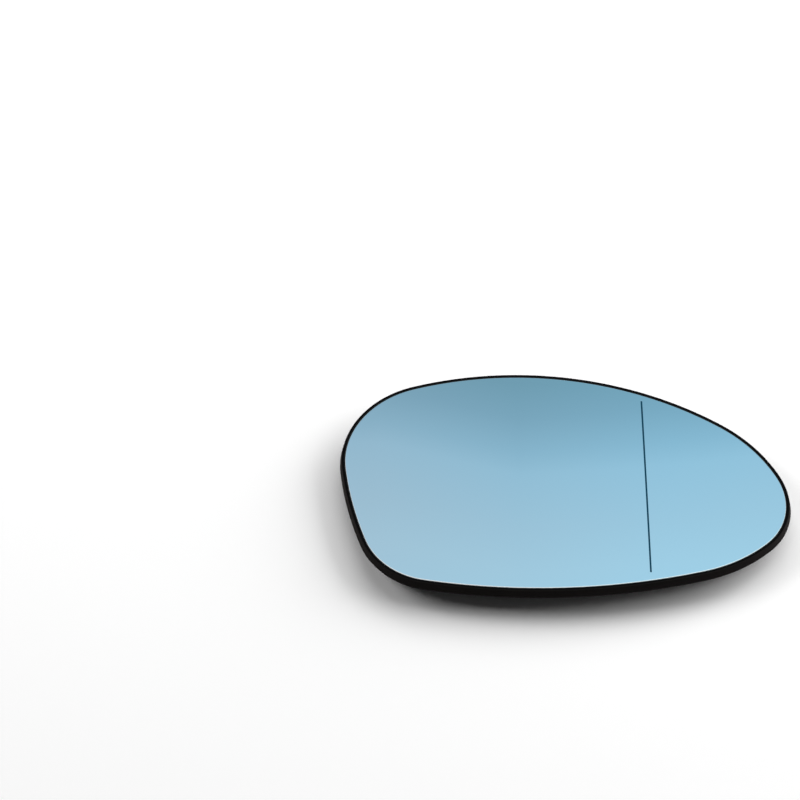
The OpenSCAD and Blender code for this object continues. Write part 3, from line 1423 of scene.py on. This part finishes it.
@dataclass
class HeaterBlade:
    """Spade terminal: a foot against the heater pad and a tongue through the plate."""

    form: Form
    side: Side
    distance: float = 52 * MM
    spacing: float = 16 * MM
    width: float = 6.3 * MM
    thickness: float = 0.8 * MM
    length: float = 8.5 * MM
    foot: float = 6 * MM
    bend: float = 0.3 * MM
    bevel: float = 1 * MM
    coin: float = 0.15 * MM
    coined_corner: float = 40.0
    hole_r: float = 0.9 * MM
    hole_sides: int = 32
    hole_inset: float = 3 * MM
    foot_gap: float = 0.15 * MM
    window_gap: float = 0.4 * MM
    window_round: float = 0.4 * MM

    @property
    def at(self) -> Vector:
        """Place of the tongue in plan."""
        return self.form.socket + Vector((self.distance, self.side * self.spacing / 2))

    def build(self) -> None:
        """Builds the blade."""
        blade = bmesh.new()
        half, bend = self.thickness / 2, self.bend
        section = [
            (-half, -self.length),
            (half, -self.length),
            (half, -self.thickness - bend),
            (half + bend, -self.thickness),
            (self.foot - half, -self.thickness),
            (self.foot - half, 0.0),
            (-half + 2 * bend, 0.0),
            (-half, -2 * bend),
        ]
        start = blade.faces.new([blade.verts.new((x, -self.width / 2, z)) for x, z in section])
        grown = bmesh.ops.extrude_face_region(blade, geom=[start])["geom"]
        verts = [part for part in grown if isinstance(part, BMVert)]
        bmesh.ops.translate(blade, verts=verts, vec=(0.0, self.width, 0.0))
        bmesh.ops.recalc_face_normals(blade, faces=blade.faces)
        corners = [e for e in blade.edges if self._is_tongue_corner(e)]
        round_off(blade, corners, self.bevel, 1)
        round_off(blade, sharp_edges(blade, self.coined_corner), self.coin, 2)
        blade = combine(blade, self._hole(), Boolean.CUT)
        lower = self.form.layers.pad_bottom + self.foot_gap
        bmesh.ops.transform(blade, matrix=self.form.face.seat(*self.at, lower), verts=blade.verts)
        side = self.side.name.lower()
        name, node = f"spade_terminal_{side}", f"heater_blade_{side}"
        finish_piece(blade, name, node, [TinnedBrass()])

    def _is_tongue_corner(self, edge: BMEdge) -> bool:
        """Tells whether an edge runs through the thickness of the tongue at its end.

        Args:
            edge: The edge.

        Returns:
            True if it does.
        """
        one, two = (v.co for v in edge.verts)
        at_end = max(one.z, two.z) < self.coin - self.length
        return at_end and abs(one.x - two.x) > self.thickness / 2

    def _hole(self) -> BMesh:
        """Builds the latch hole's cutter.

        Returns:
            The cutter.
        """
        tool = bmesh.new()
        size = {"radius1": self.hole_r, "radius2": self.hole_r, "depth": 4 * self.thickness}
        bmesh.ops.create_cone(tool, cap_ends=True, segments=self.hole_sides, **size)
        at = Matrix.Translation((0.0, 0.0, self.hole_inset - self.length))
        turned = at @ Matrix.Rotation(math.pi / 2, 4, "Y")
        bmesh.ops.transform(tool, matrix=turned, verts=tool.verts)
        return tool

    def window(self) -> BMesh:
        """Builds the window that the carrier's plate needs for this blade.

        Returns:
            The window, closed.
        """
        hollow = bmesh.new()
        plate = self.form.layers.plate
        bmesh.ops.create_cube(hollow, size=1.0)
        size = (self.foot + 2 * self.window_gap, self.width + 2 * self.window_gap, 3 * plate)
        bmesh.ops.scale(hollow, verts=hollow.verts, vec=size)
        middle = self.foot / 2 - self.thickness / 2
        move(hollow, middle, 0.0, 0.0)
        upright = [e for e in hollow.edges if abs(e.verts[0].co.z - e.verts[1].co.z) > plate]
        round_off(hollow, upright, self.window_round)
        seat = self.form.face.seat(*self.at, self.form.layers.plate_middle)
        bmesh.ops.transform(hollow, matrix=seat, verts=hollow.verts)
        return hollow


# The studio


@dataclass
class Camera:
    """Camera at the photograph's angle, a long lens without shift."""

    stand: Vector = field(default_factory=lambda: Vector((-0.0377, -0.5803, 0.7928)))
    heading: float = 2.694
    pitch: float = 51.4
    roll: float = -2.1
    lens: float = 108.0
    sensor: float = 36.0
    reach: float = 50.0

    def build(self) -> None:
        """Builds the camera and makes it the scene's."""
        data = bpy.data.cameras.new("photograph_camera")
        data.lens = self.lens
        data.sensor_width = self.sensor
        data.clip_end = self.reach
        camera = bpy.data.objects.new("photograph_camera", data)
        bpy.context.scene.collection.objects.link(camera)
        turned = (
            Matrix.Rotation(math.radians(self.heading), 4, "Z")
            @ Matrix.Rotation(math.radians(90 - self.pitch), 4, "X")
            @ Matrix.Rotation(math.radians(self.roll), 4, "Z")
        )
        camera.matrix_world = Matrix.Translation(self.stand) @ turned
        bpy.context.scene.camera = camera


@dataclass(frozen=True)
class Lamp:
    """A rectangular soft box that points at the object.

    Attributes:
        name: Its name.
        bearing: Its direction from straight behind the object, towards the tip, in degrees.
        elevation: How high it stands, in degrees.
        size: Its width and height.
        watts: Its power.
        distance: How far it stands from the object.
    """

    name: str
    bearing: float
    elevation: float
    size: tuple[float, float]
    watts: float
    distance: float = 1.7

    @property
    def stand(self) -> Vector:
        """Place of the lamp's middle."""
        across, up = math.radians(self.bearing), math.radians(self.elevation)
        way = Vector((math.cos(up) * math.sin(across), math.cos(up) * math.cos(across), math.sin(up)))
        return self.distance * way

    def build(self) -> None:
        """Builds the lamp."""
        data = bpy.data.lights.new(self.name, "AREA")
        data.shape = "RECTANGLE"
        data.size, data.size_y = self.size
        data.energy = self.watts
        lamp = bpy.data.objects.new(self.name, data)
        bpy.context.scene.collection.objects.link(lamp)
        lamp.location = self.stand
        lamp.rotation_euler = (-self.stand).to_track_quat("-Z", "Y").to_euler()
        lamp.visible_glossy = False


@dataclass
class Studio:
    """White sweep, soft boxes and the pale room that the mirror shows."""

    floor_size: float = 6.0
    floor_cells: int = 8
    floor_albedo: float = 0.5
    paper_patch: float = 0.4
    paper_mottle: float = 0.01
    lamps: tuple[Lamp, ...] = (
        Lamp("soft_box_tip_side", 69.0, 30.0, (1.6, 1.4), 31.0),
        Lamp("soft_box_inner_side", -76.0, 38.5, (0.9, 0.55), 10.5),
        Lamp("soft_box_behind", 9.5, 55.0, (1.5, 1.5), 15.5),
    )
    fill: float = 0.05
    horizon: float = 1.0
    overhead: float = 0.4
    # Tone of the room by how far towards the back a direction points
    ceiling: tuple[tuple[float, Colour], ...] = (
        (0.8, (0.8, 0.82, 0.83)),
        (0.72, (0.44, 0.52, 0.54)),
        (0.68, (0.46, 0.54, 0.56)),
        (0.65, (0.55, 0.61, 0.64)),
        (0.62, (0.69, 0.73, 0.76)),
        (0.6, (0.82, 0.82, 0.84)),
        (0.55, (0.93, 0.87, 0.87)),
        (0.51, (1.0, 0.93, 0.92)),
        (0.4, (1.0, 1.0, 1.0)),
    )
    warm_side: Colour = (1.0, 0.94, 0.93)
    cool_side: Colour = (0.97, 1.06, 1.08)
    side_reach: float = 0.13
    lift_left: float = 0.25
    lift_right: float = 0.06
    lift_most: float = 0.03

    def build(self) -> None:
        """Builds the floor, the lamps and the world."""
        self._floor()
        for lamp in self.lamps:
            lamp.build()
        self._world()

    def _floor(self) -> None:
        """Builds the floor: white paper to the camera, grey to the light that it throws back."""
        grid, cells = bmesh.new(), self.floor_cells
        bmesh.ops.create_grid(grid, x_segments=cells, y_segments=cells, size=self.floor_size / 2)
        floor = to_object(grid, "studio_floor")
        graph, material = new_material("white_sweep")
        seen = graph.ray("Is Camera Ray")
        paper = graph.noise(self.paper_patch, 2.0) * self.paper_mottle
        tone = seen * (1.0 - self.floor_albedo) + self.floor_albedo - paper * (1.0 - seen)
        colour = graph.node("ShaderNodeCombineColor", {}, {0: tone, 1: tone, 2: tone})
        graph.end(graph.node("ShaderNodeBsdfDiffuse", {}, {"Color": colour}))
        floor.data.materials.append(material)

    def _world(self) -> None:
        """Builds the room: white to the camera, dim to matt surfaces, in tones to shiny ones."""
        world = bpy.data.worlds.new("studio_room")
        bpy.context.scene.world = world
        world.use_nodes = True
        graph = Graph(world.node_tree)
        way = graph.node("ShaderNodeTexCoord", {}, {}, "Generated")
        aside = graph.node("ShaderNodeSeparateXYZ", {}, {"Vector": way}, "X")
        back = graph.node("ShaderNodeSeparateXYZ", {}, {"Vector": way}, "Y")
        lift = (aside * -self.lift_left).larger(aside * self.lift_right).smaller(self.lift_most)
        reach = self.horizon - self.overhead
        stops = [((self.horizon - level) / reach, colour) for level, colour in self.ceiling]
        past = (self.horizon - back + lift) / reach
        room = graph.node("ShaderNodeValToRGB", {"stops": stops}, {"Fac": past})
        side = ((aside + self.side_reach) / (2 * self.side_reach)).clamped()
        tint = graph.blend(side, self.warm_side, self.cool_side)
        room = graph.node("ShaderNodeVectorMath", {"operation": "MULTIPLY"}, {0: room, 1: tint})
        shiny = graph.ray("Is Glossy Ray").larger(graph.ray("Is Transmission Ray"))
        colour = graph.blend(shiny, (self.fill, self.fill, self.fill), room)
        colour = graph.blend(graph.ray("Is Camera Ray"), colour, (1.0, 1.0, 1.0))
        glow = graph.node("ShaderNodeBackground", {}, {"Color": colour, "Strength": 1.0})
        graph.end(glow, "ShaderNodeOutputWorld")


def main() -> None:
    """Builds the camera, the pieces and the studio, in that order."""
    logging.basicConfig(level=logging.INFO, format="%(name)s: %(message)s")
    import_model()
    Camera().build()
    form = Form()
    MirrorGlass(form).build()
    HeaterPad(form).build()
    blades = [HeaterBlade(form, side) for side in Side]
    for blade in blades:
        blade.build()
    carrier = Carrier(form)
    carrier.build([blade.window() for blade in blades])
    RetainingSpring(form, carrier.wire_ring, carrier.wire_d, carrier.wire_height).build()
    Studio().build()
    bpy.context.scene.view_settings.view_transform = "Standard"


if __name__ == "__main__":
    main()
